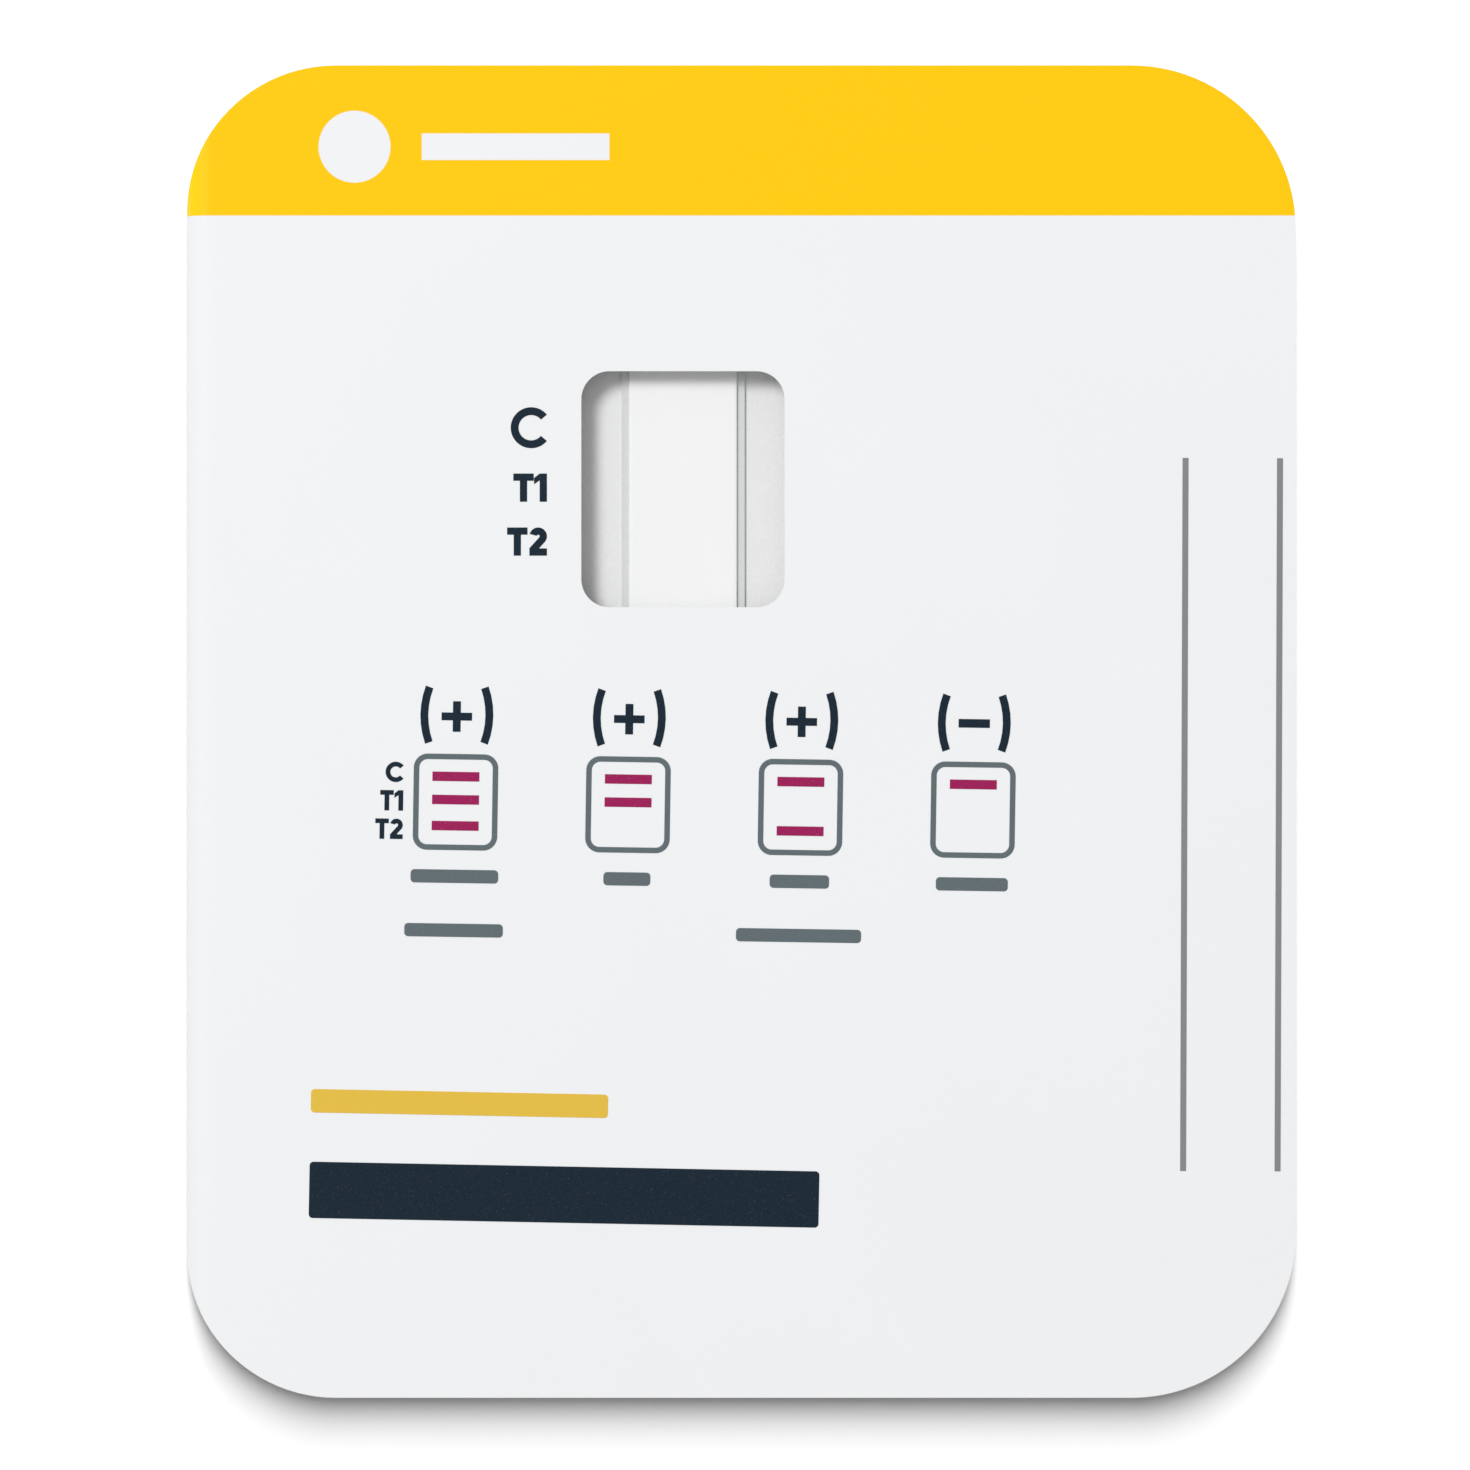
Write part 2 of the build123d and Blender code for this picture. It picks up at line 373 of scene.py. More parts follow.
def ramp(tree, value, low, high, to_low=0.0, to_high=1.0, smoothly=True):
    """Carries a value from one range to another, and holds it there."""
    kind = "SMOOTHSTEP" if smoothly else "LINEAR"
    inputs = {"Value": value, "From Min": low, "From Max": high, "To Min": to_low, "To Max": to_high}
    return add_node(tree, "ShaderNodeMapRange", inputs, interpolation_type=kind).outputs["Result"]


def mix_colours(tree, factor, first, second):
    """Goes from the first colour to the second."""
    return add_node(tree, "ShaderNodeMix", {0: factor, 6: first, 7: second}, data_type="RGBA").outputs[2]


def speckle(tree, vector, size, detail=2.0, roughness=0.5):
    """Noise whose spots are about as large as size, which is a value or a socket."""
    scale = maths(tree, "DIVIDE", 1.0, size) if isinstance(size, bpy.types.NodeSocket) else 1 / size
    inputs = {"Vector": vector, "Scale": scale, "Detail": detail, "Roughness": roughness}
    return add_node(tree, "ShaderNodeTexNoise", inputs).outputs["Fac"]


def relief(tree, height, distance, normal=None):
    """Normal of a surface whose height runs from nought to distance, laid over another normal."""
    inputs = {"Height": height, "Distance": distance}
    if normal is not None:
        inputs["Normal"] = normal
    return add_node(tree, "ShaderNodeBump", inputs).outputs["Normal"]


def solid(rgb):
    """Colour with its alpha."""
    return (*rgb, 1.0)


def place_group(tree, name, inputs, outputs, fill):
    """Places a node group with its own values, and returns its outputs.

    Inputs give each socket's kind and value, outputs each socket's kind. The first material that
    places the group has it built by fill(tree, given, result).
    """
    group = bpy.data.node_groups.get(name)
    if group is None:
        group = bpy.data.node_groups.new(name, "ShaderNodeTree")
        sockets = [(key, "INPUT", kind) for key, (kind, value) in inputs.items()]
        sockets += [(key, "OUTPUT", kind) for key, kind in outputs.items()]
        for key, way, kind in sockets:
            group.interface.new_socket(name=key, in_out=way, socket_type="NodeSocket" + kind)
        given = group.nodes.new("NodeGroupInput").outputs
        fill(group, given, group.nodes.new("NodeGroupOutput").inputs)
    values = {key: value for key, (kind, value) in inputs.items()}
    return add_node(tree, "ShaderNodeGroup", values, node_tree=group).outputs


def lay_fibres(tree, given, result):
    """Short straight fibres that lie in three directions, as in paper and glass fibre."""
    slimness = 8.0
    fineness = maths(tree, "DIVIDE", 1.0, given["Fibre Length"])
    layers = []
    for angle in (17, 76, 139):
        turn = {"Vector": given["Vector"], "Angle": math.radians(angle)}
        turned = add_node(tree, "ShaderNodeVectorRotate", turn, rotation_type="Z_AXIS").outputs[0]
        size = {0: multiplied(tree, turned, (1.0, slimness, slimness)), "Scale": fineness}
        sized = add_node(tree, "ShaderNodeVectorMath", size, operation="SCALE").outputs[0]
        layers.append(ramp(tree, speckle(tree, sized, 1.0, detail=1.0), 0.5, 0.66))
    upper = maths(tree, "MAXIMUM", layers[0], layers[1])
    tree.links.new(maths(tree, "MAXIMUM", upper, layers[2]), result["Fibres"])


def drift_tone(tree, given, result):
    """Faint patches in which a colour is a little lighter or darker."""
    patches = speckle(tree, given["Vector"], given["Patch Size"], detail=3.0)
    swing = maths(tree, "MULTIPLY", maths(tree, "SUBTRACT", patches, 0.5), given["Amount"])
    value = maths(tree, "ADD", maths(tree, "MULTIPLY", swing, 2.0), 1.0)
    toned = add_node(tree, "ShaderNodeHueSaturation", {"Color": given["Color"], "Value": value})
    tree.links.new(toned.outputs["Color"], result["Color"])


def lay_ink(tree, given, result):
    """Printed ink: fine grain, and pinholes through which the board shows."""
    pinholes = ramp(tree, speckle(tree, given["Vector"], given["Grain"]), 0.62, 0.78)
    shown = maths(tree, "MULTIPLY", pinholes, given["Show Through"])
    tree.links.new(mix_colours(tree, shown, given["Ink"], given["Board"]), result["Color"])
    tree.links.new(maths(tree, "SUBTRACT", 1.0, pinholes), result["Film"])


def fibre_mask(tree, place, fibre_length):
    """One on a paper's fibres, nought between them."""
    inputs = {"Vector": ("Vector", place), "Fibre Length": ("Float", fibre_length)}
    return place_group(tree, "Paper Fibres", inputs, {"Fibres": "Float"}, lay_fibres)["Fibres"]


def drifting(tree, place, tint, patch, amount):
    """Colour that is a little lighter or darker from patch to patch."""
    inputs = {
        "Vector": ("Vector", place),
        "Color": ("Color", solid(tint)),
        "Patch Size": ("Float", patch),
        "Amount": ("Float", amount),
    }
    return place_group(tree, "Tone Drift", inputs, {"Color": "Color"}, drift_tone)["Color"]


def ink_film(tree, place, tint, show_through):
    """Colour and film of an ink on the coated board."""
    inputs = {
        "Vector": ("Vector", place),
        "Ink": ("Color", solid(tint)),
        "Board": ("Color", solid(bpy.context.scene.card_board.coated)),
        "Grain": ("Float", 0.08 * MM),
        "Show Through": ("Float", show_through),
    }
    return place_group(tree, "Ink Film", inputs, {"Color": "Color", "Film": "Float"}, lay_ink)


def own_place(tree):
    """Object coordinates, in metres, as in the frame."""
    return add_node(tree, "ShaderNodeTexCoord").outputs["Object"]


def rest_place(tree):
    """Place in the closed card, which bends along with the board."""
    return add_node(tree, "ShaderNodeAttribute", attribute_name="rest_place").outputs["Vector"]


def new_material(name, roughness, specular=0.5):
    """Material with a Principled shader. Returns it with its tree and shader."""
    material = bpy.data.materials.new(name)
    material.use_nodes = True
    tree = material.node_tree
    shader = tree.nodes["Principled BSDF"]
    shader.inputs["Roughness"].default_value = roughness
    shader.inputs["Specular IOR Level"].default_value = specular
    return material, tree, shader


def join_up(tree, shader, tint, normal, roughness=None):
    """Joins a material's patterns to its shader."""
    tree.links.new(tint, shader.inputs["Base Color"])
    tree.links.new(normal, shader.inputs["Normal"])
    if roughness is not None:
        tree.links.new(roughness, shader.inputs["Roughness"])


# Materials


def coated_board(name, header):
    """Satin coated outer side, with painted shade across the fold into the spine. With header, the band
    is printed on it, around two plain marks.
    """
    board = bpy.context.scene.card_board
    material, tree, shader = new_material(name, roughness=0.42, specular=0.12)
    place = rest_place(tree)
    across = add_node(tree, "ShaderNodeSeparateXYZ", {0: place}).outputs
    shoulder = SPINE_X + board.fold_reach
    # Painted shade: the white darkens across the bend, from the shoulder to the fold's outer line
    painted_crease_shade = [board.crease_shade_tone * c for c in board.coated]
    crease_shade_mask = ramp(tree, across["X"], shoulder, SPINE_X, smoothly=False)
    paper = drifting(tree, place, board.coated, patch=16 * MM, amount=0.012)
    paper = mix_colours(tree, crease_shade_mask, paper, solid(painted_crease_shade))
    if header:
        band = ink_film(tree, place, bpy.context.scene.card_print.header, show_through=0.03)["Color"]
        paper = mix_colours(tree, header_mask(tree, across), paper, band)

    coating = speckle(tree, place, 0.35 * MM, detail=3.0)
    calm = relief(tree, coating, 0.0016 * MM)
    calm = relief(tree, fibre_mask(tree, place, 1.6 * MM), 0.0012 * MM, calm)
    bend = ramp(tree, across["X"], shoulder, SPINE_X + 0.3 * board.fold_reach)
    stretch = maths(tree, "MULTIPLY", fibre_mask(tree, place, 0.5 * MM), bend)
    gloss = ramp(tree, coating, 0.3, 0.7, 0.38, 0.46)
    join_up(tree, shader, paper, relief(tree, stretch, 0.004 * MM, calm), gloss)
    return material


def header_mask(tree, across):
    """One where the header band is printed, nought below it and in its plain disc and bar."""
    printed = bpy.context.scene.card_print
    soft = 0.03 * MM
    band = ramp(tree, across["Y"], HEADER_LOW.y - soft, HEADER_LOW.y + soft)
    up = maths(tree, "SUBTRACT", across["Y"], FRONT_HIGH.y - printed.header_mark_from_top)
    from_disc = maths(tree, "SUBTRACT", across["X"], SPINE_X + printed.emblem_from_spine)
    squares = [maths(tree, "MULTIPLY", way, way) for way in (from_disc, up)]
    reach = maths(tree, "SQRT", maths(tree, "ADD", *squares))
    outside_disc = ramp(tree, reach, printed.emblem_radius - soft, printed.emblem_radius + soft)
    from_bar = maths(tree, "SUBTRACT", across["X"], SPINE_X + printed.bar_from_spine)
    past_end = maths(tree, "SUBTRACT", maths(tree, "ABSOLUTE", from_bar), printed.bar_length / 2)
    past_side = maths(tree, "SUBTRACT", maths(tree, "ABSOLUTE", up), printed.bar_height / 2)
    outside_bar = ramp(tree, maths(tree, "MAXIMUM", past_end, past_side), -soft, soft)
    return maths(tree, "MULTIPLY", band, maths(tree, "MULTIPLY", outside_disc, outside_bar))


def inner_board():
    """Uncoated inner side of the board, with its fibres to be seen."""
    board = bpy.context.scene.card_board
    material, tree, shader = new_material("board_inside", roughness=0.75, specular=0.25)
    place = rest_place(tree)
    fibres = fibre_mask(tree, place, 1.3 * MM)
    toned = drifting(tree, place, board.inside, patch=9 * MM, amount=0.02)
    lighter = mix_colours(tree, maths(tree, "MULTIPLY", fibres, 0.25), toned, solid((0.84, 0.84, 0.84)))
    join_up(tree, shader, lighter, relief(tree, fibres, 0.006 * MM))
    return material


def cut_board():
    """Die-cut edge, in the light and darker plies of the core."""
    core = bpy.context.scene.card_board.core
    material, tree, shader = new_material("board_cut_edge", roughness=0.85, specular=0.25)
    plies = speckle(tree, multiplied(tree, rest_place(tree), (0.12, 0.12, 1.0)), 0.09 * MM, detail=3.0)
    dark = [0.86 * c for c in core]
    toned = mix_colours(tree, ramp(tree, plies, 0.35, 0.65), solid(dark), solid(core))
    join_up(tree, shader, toned, relief(tree, plies, 0.02 * MM))
    return material


def pad_paper(name, tint, spread=0.03):
    """Matt fibrous pad. Spread is how unevenly its colour has dried."""
    material, tree, shader = new_material(name, roughness=0.95)
    place = own_place(tree)
    fibres = fibre_mask(tree, place, bpy.context.scene.card_strip.fibre_length)
    fluff = speckle(tree, place, 0.3 * MM, detail=4.0, roughness=0.65)
    toned = drifting(tree, place, tint, patch=2.5 * MM, amount=spread)
    pale = [c + 0.35 * (0.92 - c) for c in tint]
    lighter = mix_colours(tree, maths(tree, "MULTIPLY", fibres, 0.45), toned, solid(pale))
    join_up(tree, shader, lighter, relief(tree, fibres, 0.02 * MM, relief(tree, fluff, 0.03 * MM)))
    shader.inputs["Sheen Weight"].default_value = 0.15
    shader.inputs["Sheen Roughness"].default_value = 0.6
    return material


def porous_membrane():
    """Matt membrane with very fine pores and the faint streaks of its casting."""
    material, tree, shader = new_material("porous_membrane", roughness=0.8, specular=0.25)
    place = own_place(tree)
    pores = speckle(tree, place, 0.05 * MM, detail=3.0, roughness=0.7)
    drawn = multiplied(tree, place, (1.0, 0.08, 1.0))
    streaks = relief(tree, speckle(tree, drawn, 0.5 * MM), 0.002 * MM)
    toned = drifting(tree, drawn, bpy.context.scene.card_strip.membrane, patch=0.7 * MM, amount=0.01)
    join_up(tree, shader, toned, relief(tree, pores, 0.003 * MM, streaks))
    return material


def backing_plastic():
    """Smooth plastic card under the strip."""
    material, tree, shader = new_material("backing_plastic", roughness=0.3)
    place = own_place(tree)
    toned = drifting(tree, place, bpy.context.scene.card_strip.backing, patch=6 * MM, amount=0.01)
    ripple = speckle(tree, place, 0.8 * MM, detail=1.0)
    gloss = ramp(tree, ripple, 0.3, 0.7, 0.25, 0.36)
    join_up(tree, shader, toned, relief(tree, ripple, 0.002 * MM), gloss)
    return material


def adhesive_film():
    """Tacky adhesive with small trapped bubbles."""
    tint = bpy.context.scene.card_closure.adhesive
    material, tree, shader = new_material("adhesive_film", roughness=0.2)
    cells = {"Vector": own_place(tree), "Scale": 1 / (0.6 * MM)}
    bubbles = add_node(tree, "ShaderNodeTexVoronoi", cells, feature="F1").outputs["Distance"]
    spots = ramp(tree, bubbles, 0.12, 0.3)
    pale = [c + 0.4 * (0.9 - c) for c in tint]
    toned = mix_colours(tree, spots, solid(pale), solid(tint))
    join_up(tree, shader, toned, relief(tree, spots, 0.01 * MM))
    return material


def release_paper():
    """Glazed release paper, slightly cockled."""
    material, tree, shader = new_material("release_paper", roughness=0.28)
    place = own_place(tree)
    fibres = fibre_mask(tree, place, 1.8 * MM)
    cockle = relief(tree, speckle(tree, place, 4.0 * MM, detail=1.0), 0.12 * MM)
    toned = drifting(tree, place, bpy.context.scene.card_closure.liner, patch=3 * MM, amount=0.03)
    fibrous = mix_colours(tree, maths(tree, "MULTIPLY", fibres, 0.15), toned, solid((0.7, 0.62, 0.44)))
    join_up(tree, shader, fibrous, relief(tree, fibres, 0.002 * MM, cockle))
    shader.inputs["Coat Weight"].default_value = 0.35
    shader.inputs["Coat Roughness"].default_value = 0.15
    return material


def ink(name, tint, show_through):
    """Matt printing ink on the coated board."""
    material, tree, shader = new_material(name, roughness=0.5, specular=0.12)
    film = ink_film(tree, own_place(tree), tint, show_through)
    join_up(tree, shader, film["Color"], relief(tree, film["Film"], 0.001 * MM))
    return material


# Board


def bent_cover(name, high, height, outward, materials, hole=None):
    """One cover: a flat sheet whose left margin rolls into the spine up to the middle of its height.

    Materials are those of its outer side, its inner side and its cut edges.
    """
    board = bpy.context.scene.card_board
    shoulder = SPINE_X + board.fold_reach
    radii = (board.spine_radius, board.open_radius)
    piece = round_sheet(name, (SPINE_X, -high.y), high, height, radii, board.corner_steps, hole)
    turns = [math.pi / 2 * step / board.fold_steps for step in range(board.fold_steps)]
    bends = [shoulder - board.fold_reach * math.sin(turn) for turn in turns]
    rests = [shoulder + board.fold_settle * step for step in (1, 2)]
    cut_across(bends + rests, axis=0)
    face_all(piece, up=outward > 0)
    bpy.ops.object.mode_set(mode="OBJECT")
    drop = abs(height - SPINE_MIDDLE)
    for vertex in piece.data.vertices:
        share = min(max((shoulder - vertex.co.x) / board.fold_reach, 0.0), 1.0)
        vertex.co.z -= outward * drop * (1 - math.sqrt(1 - share * share))
    for material in materials:
        piece.data.materials.append(material)
    thicken(piece, board.thickness, inner_slot=1, rim_slot=2)
    for vertex in piece.data.vertices:
        if (vertex.co.z - SPINE_MIDDLE) * outward < 0:
            vertex.co.z = SPINE_MIDDLE

    def at_seam(edge):
        middle = (edge.verts[0].co + edge.verts[1].co) / 2
        near_spine = middle.x < SPINE_X + board.thickness + board.edge_round
        return near_spine and abs(middle.z - SPINE_MIDDLE) < board.edge_round

    round_edges(piece, board.edge_round, 2, spared=at_seam)
    smooth(piece, 20)
    keep_rest_place(piece)
    return piece


class TESTCARD_OT_front_board(bpy.types.Operator):
    """Models the front cover with its window and its half of the spine"""

    bl_idname = "testcard.front_board"
    bl_label = "Front Board"

    def execute(self, context):
        board = context.scene.card_board
        middle = (SPINE_X + board.window_from_spine, FRONT_HIGH.y - board.window_from_top)
        half = (board.window_width / 2, board.window_height / 2)
        low, high = ([m + side * h for m, h in zip(middle, half)] for side in (-1, 1))
        window = (low, high, board.window_radius)
        materials = [coated_board("coated_front", header=True), inner_board(), cut_board()]
        piece = bent_cover("front_board", FRONT_HIGH, FRONT_HIGH.z, 1, materials, window)
        finish(piece, [], None, "board", "front_cover", "header_print", "spine")
        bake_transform(piece)
        return {"FINISHED"}


class TESTCARD_OT_back_board(bpy.types.Operator):
    """Models the back cover and its half of the spine"""

    bl_idname = "testcard.back_board"
    bl_label = "Back Board"

    def execute(self, context):
        front = bpy.data.objects.get("front_board")
        if front is None:
            raise RuntimeError("the front board has to be made first")
        materials = [coated_board("coated_back", header=False), *list(front.data.materials)[1:]]
        piece = bent_cover("back_board", BACK_HIGH, BACK_LOW.z, -1, materials)
        finish(piece, [], None, "board", "back_cover", "spine")
        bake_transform(piece)
        return {"FINISHED"}


# Strip and pads


def waves(point, long_wave, short_wave):
    """Unevenness of a soft surface at a point, from about -1 to 1."""
    return noise.noise(point / long_wave) + 0.6 * noise.noise(point / short_wave)


def soft_slab(name, low, high, thickness, unevenness, top_round):
    """Thin slab of soft material on a grid, with a rounded upper rim and an uneven upper side."""
    cell = bpy.context.scene.card_strip.pad_cell
    columns, rows = (max(2, round((high[i] - low[i]) / cell)) for i in (0, 1))
    deselect_all()
    bpy.ops.mesh.primitive_grid_add(x_subdivisions=columns, y_subdivisions=rows, size=1)
    piece = named(name)
    lay(piece, *rectangle(low, high, low[2]))
    edit(piece)
    bpy.ops.mesh.extrude_region_move(TRANSFORM_OT_translate={"value": (0, 0, thickness)})
    bpy.ops.mesh.select_all(action="SELECT")
    bpy.ops.mesh.normals_make_consistent(inside=False)
    deselect_all()
    upper = low[2] + 0.9 * thickness
    even_below = low[2] + 0.3 * thickness
    round_edges(piece, top_round, 2, spared=lambda edge: min(v.co.z for v in edge.verts) < upper)
    for vertex in piece.data.vertices:
        if vertex.co.z > even_below:
            wave = waves(vertex.co, long_wave=0.7 * MM, short_wave=0.28 * MM)
            vertex.co.z += unevenness * (0.5 * wave - 0.5)
    return piece


def climb(piece, step_low, step_high, rise):
    """Lifts the part of a pad that lies over its neighbour."""
    for vertex in piece.data.vertices:
        share = (vertex.co.y - step_low) / (step_high - step_low)
        share = min(max(share, 0.0), 1.0)
        vertex.co.z += rise * share * share * (3 - 2 * share)


def lapped_pad(name, node, lapped_high, rise):
    """Strip pad that lies on the backing and climbs by rise over its neighbour at one end."""
    strip = bpy.context.scene.card_strip
    low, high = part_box(node)
    piece = soft_slab(name, low, high, high.z - low.z - rise, strip.unevenness, top_round=0.08 * MM)
    way = 1 if lapped_high else -1
    step_high = (high.y if lapped_high else low.y) - way * strip.pad_lap
    climb(piece, step_high - way * strip.pad_climb, step_high, rise)
    smooth(piece, 60)
    return piece


class TESTCARD_OT_strip(bpy.types.Operator):
    """Models the test strip: its membrane and three pads, on the backing"""

    bl_idname = "testcard.strip"
    bl_label = "Test Strip"

    def execute(self, context):
        strip = context.scene.card_strip
        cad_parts["strip_backing"].material_slots[0].material = backing_plastic()
        white = pad_paper("absorbent_paper", strip.paper)
        glass = pad_paper("glass_fibre", [0.98 * c for c in strip.paper], 0.015)
        dyed = pad_paper("dyed_fibre", strip.dye, 0.12)

        thin = MEMBRANE_HIGH.z - MEMBRANE_LOW.z
        uneven = strip.membrane_unevenness
        rim = 0.04 * MM
        membrane = soft_slab("strip_membrane", MEMBRANE_LOW, MEMBRANE_HIGH, thin, uneven, rim)
        smooth(membrane, 60)
        finish(membrane, [porous_membrane()], "base", "membrane", "membrane")

        sample_low, sample_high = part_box("sample_pad")
        sample_rise = sample_high.z - sample_low.z - thin
        for name, lapped_high, rise, paper, slot in (
            ("absorbent", False, thin, white, "white_pad"),
            ("sample", True, thin, dyed, "dyed_pad"),
            ("reagent", True, sample_rise, glass, "white_pad"),
        ):
            node = name + "_pad"
            piece = lapped_pad("strip_" + name, node, lapped_high, rise)
            finish(piece, [paper], "base", slot, node)
        return {"FINISHED"}


class TESTCARD_OT_cover_pads(bpy.types.Operator):
    """Models the two pads that are stuck to the inside of the front cover"""

    bl_idname = "testcard.cover_pads"
    bl_label = "Cover Pads"

    def execute(self, context):
        strip = context.scene.card_strip
        cell = 0.5 * MM
        glued_depth = 0.1 * MM
        rim = 0.14 * MM
        for name, node in (("cover_wash_pad", "wash_pad"), ("cover_clearing_pad", "clearing_pad")):
            low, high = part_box(node)
            piece = round_sheet(name, low, high, low.z, [strip.cover_pad_radius] * 2, steps=6)
            for axis in (0, 1):
                steps = round((high[axis] - low[axis]) / cell)
                cut_across([low[axis] + cell * i for i in range(1, steps)], axis)
            face_all(piece, up=False)
            thicken(piece, high.z - low.z)
            glued = high.z - glued_depth
            round_edges(piece, rim, 3, spared=lambda edge: max(v.co.z for v in edge.verts) > glued)
            for vertex in piece.data.vertices:
                if vertex.co.z < glued:
                    wave = waves(vertex.co, long_wave=1.1 * MM, short_wave=0.5 * MM)
                    vertex.co.z += strip.unevenness * (0.5 + 0.5 * wave)
            smooth(piece, 60)
            finish(piece, [pad_paper(name + "_fibre", strip.paper)], "cover", "white_pad", node)
        return {"FINISHED"}


# Closure


class TESTCARD_OT_closure(bpy.types.Operator):
    """Finishes the adhesive strip and models its release liner with the curled grip tab"""

    bl_idname = "testcard.closure"
    bl_label = "Closure"

    def execute(self, context):
        closure = context.scene.card_closure
        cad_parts["adhesive_strip"].material_slots[0].material = adhesive_film()
        low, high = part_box("release_liner")
        shoulder = high.y - closure.tab_length
        middle = (low.x + high.x) / 2
        half_tab = closure.tab_width / 2
        near = 0.1 * MM
        piece = plane("liner_sheet", low, (high.x, shoulder), high.z)
        edit(piece)
        cut_across([middle - half_tab, middle + half_tab], axis=0)

        def at_tab(edge):
            ends = [vertex.co for vertex in edge.verts]
            return all(end.y > shoulder - near and abs(end.x - middle) < half_tab + near for end in ends)

        select_where(piece, "EDGE", at_tab)
        bpy.ops.mesh.extrude_region_move(TRANSFORM_OT_translate={"value": (0, closure.tab_length, 0)})
        # The two round corners of its end almost meet in the middle
        bpy.ops.mesh.select_mode(type="VERT")
        bpy.ops.mesh.bevel(offset=0.98 * half_tab, segments=10, affect="VERTICES")
        row = closure.tab_length / closure.tab_steps
        cut_across([shoulder + row * step for step in range(closure.tab_steps)], axis=1)
        face_all(piece, up=True)
        bpy.ops.object.mode_set(mode="OBJECT")
        for vertex in piece.data.vertices:
            share = max(vertex.co.y - shoulder, 0.0) / closure.tab_length
            vertex.co.z += closure.tab_lift * share * share
        thicken(piece, high.z - low.z)
        smooth(piece, 40)
        finish(piece, [release_paper()], "base", "liner", "release_liner")
        return {"FINISHED"}


# Print


def bar(left, low, width, height):
    """In edit mode, one upright stroke by its lower left corner and size."""
    add_rectangle((left + width / 2, low + height / 2, 0), (width, height))


def slant(piece, *corners):
    """In edit mode, one slanted stroke by its four corners."""
    mesh = bmesh.from_edit_mesh(piece.data)
    mesh.faces.new([mesh.verts.new((*corner, 0)) for corner in corners])
    mesh.normal_update()
    bmesh.update_edit_mesh(piece.data)


def arc(piece, centre, radius, width, start, sweep):
    """In edit mode, one round stroke about a centre, from an angle and through a sweep, in degrees."""
    bpy.ops.mesh.select_mode(type="VERT")
    bpy.ops.mesh.select_all(action="DESELECT")
    mesh = bmesh.from_edit_mesh(piece.data)
    way = Vector((math.cos(math.radians(start)), math.sin(math.radians(start)), 0))
    middle = Vector((*centre, 0))
    ends = [mesh.verts.new(middle + way * (radius + side * width / 2)) for side in (-1, 1)]
    mesh.edges.new(ends).select_set(True)
    bmesh.update_edit_mesh(piece.data)
    steps = max(6, round(abs(sweep) / 7))
    bpy.ops.mesh.spin(steps=steps, angle=math.radians(-sweep), center=middle, axis=(0, 0, 1))


def letter_c(piece, right, low, height, stroke):
    """Round open letter, by its right side and foot."""
    opening = 40
    outer = height / 2
    centre = (right - outer * math.cos(math.radians(opening)), low + outer)
    arc(piece, centre, (height - stroke) / 2, stroke, opening, 360 - 2 * opening)


def letter_t(right, low, height, stroke, width):
    """Letter of a bar on a stem, by its right side and foot."""
    bar(right - width, low + height - stroke, width, stroke)
    bar(right - width / 2 - stroke / 2, low, stroke, height - stroke)


def figure_1(piece, right, low, height, stroke):
    """Figure of a stem with a short flag."""
    bar(right - stroke, low, stroke, height)
    stem = right - stroke
    tip = stem - 0.2 * height
    top = low + height
    upper = [(stem, top), (tip, top - 0.16 * height)]
    lower = [(tip, top - 0.38 * height), (stem, top - 0.24 * height)]
    slant(piece, *upper, *lower)


def figure_2(piece, right, low, height, stroke):
    """Figure of a round head, a slanted neck and a foot."""
    width = 0.62 * height
    radius = (width - stroke) / 2
    centre = Vector((right - width / 2, low + height - stroke / 2 - radius))
    head = 165
    neck = math.radians(-42)
    arc(piece, centre, radius, stroke, head, math.degrees(neck) - head)
    across = Vector((math.cos(neck), math.sin(neck)))
    down = Vector((math.sin(neck), -math.cos(neck)))
    upper = [centre + across * (radius + side * stroke / 2) for side in (1, -1)]
    lower = [point + down * (low + stroke - point.y) / down.y for point in reversed(upper)]
    slant(piece, *upper, *lower)
    bar(right - width, low, width, stroke)


def letter_column(feet, c_size, size, t_width):
    """C, T1 and T2 below each other, by their feet. A size is a height and a stroke."""
    height, stroke = size

    def draw(piece):
        letter_c(piece, 0, feet[0], *c_size)
        for foot, figure, figure_width in zip(feet[1:], (figure_1, figure_2), (0.47, 0.69)):
            figure(piece, 0, foot, height, stroke)
            letter_t(-figure_width * height, foot, height, stroke, t_width)

    return draw


def bracket_pair(piece, half_gap, height, stroke):
    """Round brackets on both sides of the origin."""
    half_sweep = 20
    radius = (height - stroke / 2) / 2 / math.sin(math.radians(half_sweep))
    arc(piece, (-half_gap + radius, 0), radius, stroke, 180 - half_sweep, 2 * half_sweep)
    arc(piece, (half_gap - radius, 0), radius, stroke, -half_sweep, 2 * half_sweep)


def plus_sign(size, stroke, middle):
    """Plus of three bars that meet, by the height of its middle."""
    bar(-size / 2, middle - stroke / 2, size, stroke)
    bar(-stroke / 2, middle + stroke / 2, stroke, (size - stroke) / 2)
    bar(-stroke / 2, middle - size / 2, stroke, (size - stroke) / 2)


def key_sign(positive):
    """Plus or minus between round brackets."""

    def draw(piece):
        stroke = 0.5 * MM
        bracket_pair(piece, half_gap=2.08 * MM, height=3.8 * MM, stroke=stroke)
        if positive:
            plus_sign(size=1.95 * MM, stroke=stroke, middle=-0.09 * MM)
        else:
            bar(left=-1.0 * MM, low=-0.3 * MM, width=2.0 * MM, height=0.55 * MM)

    return draw


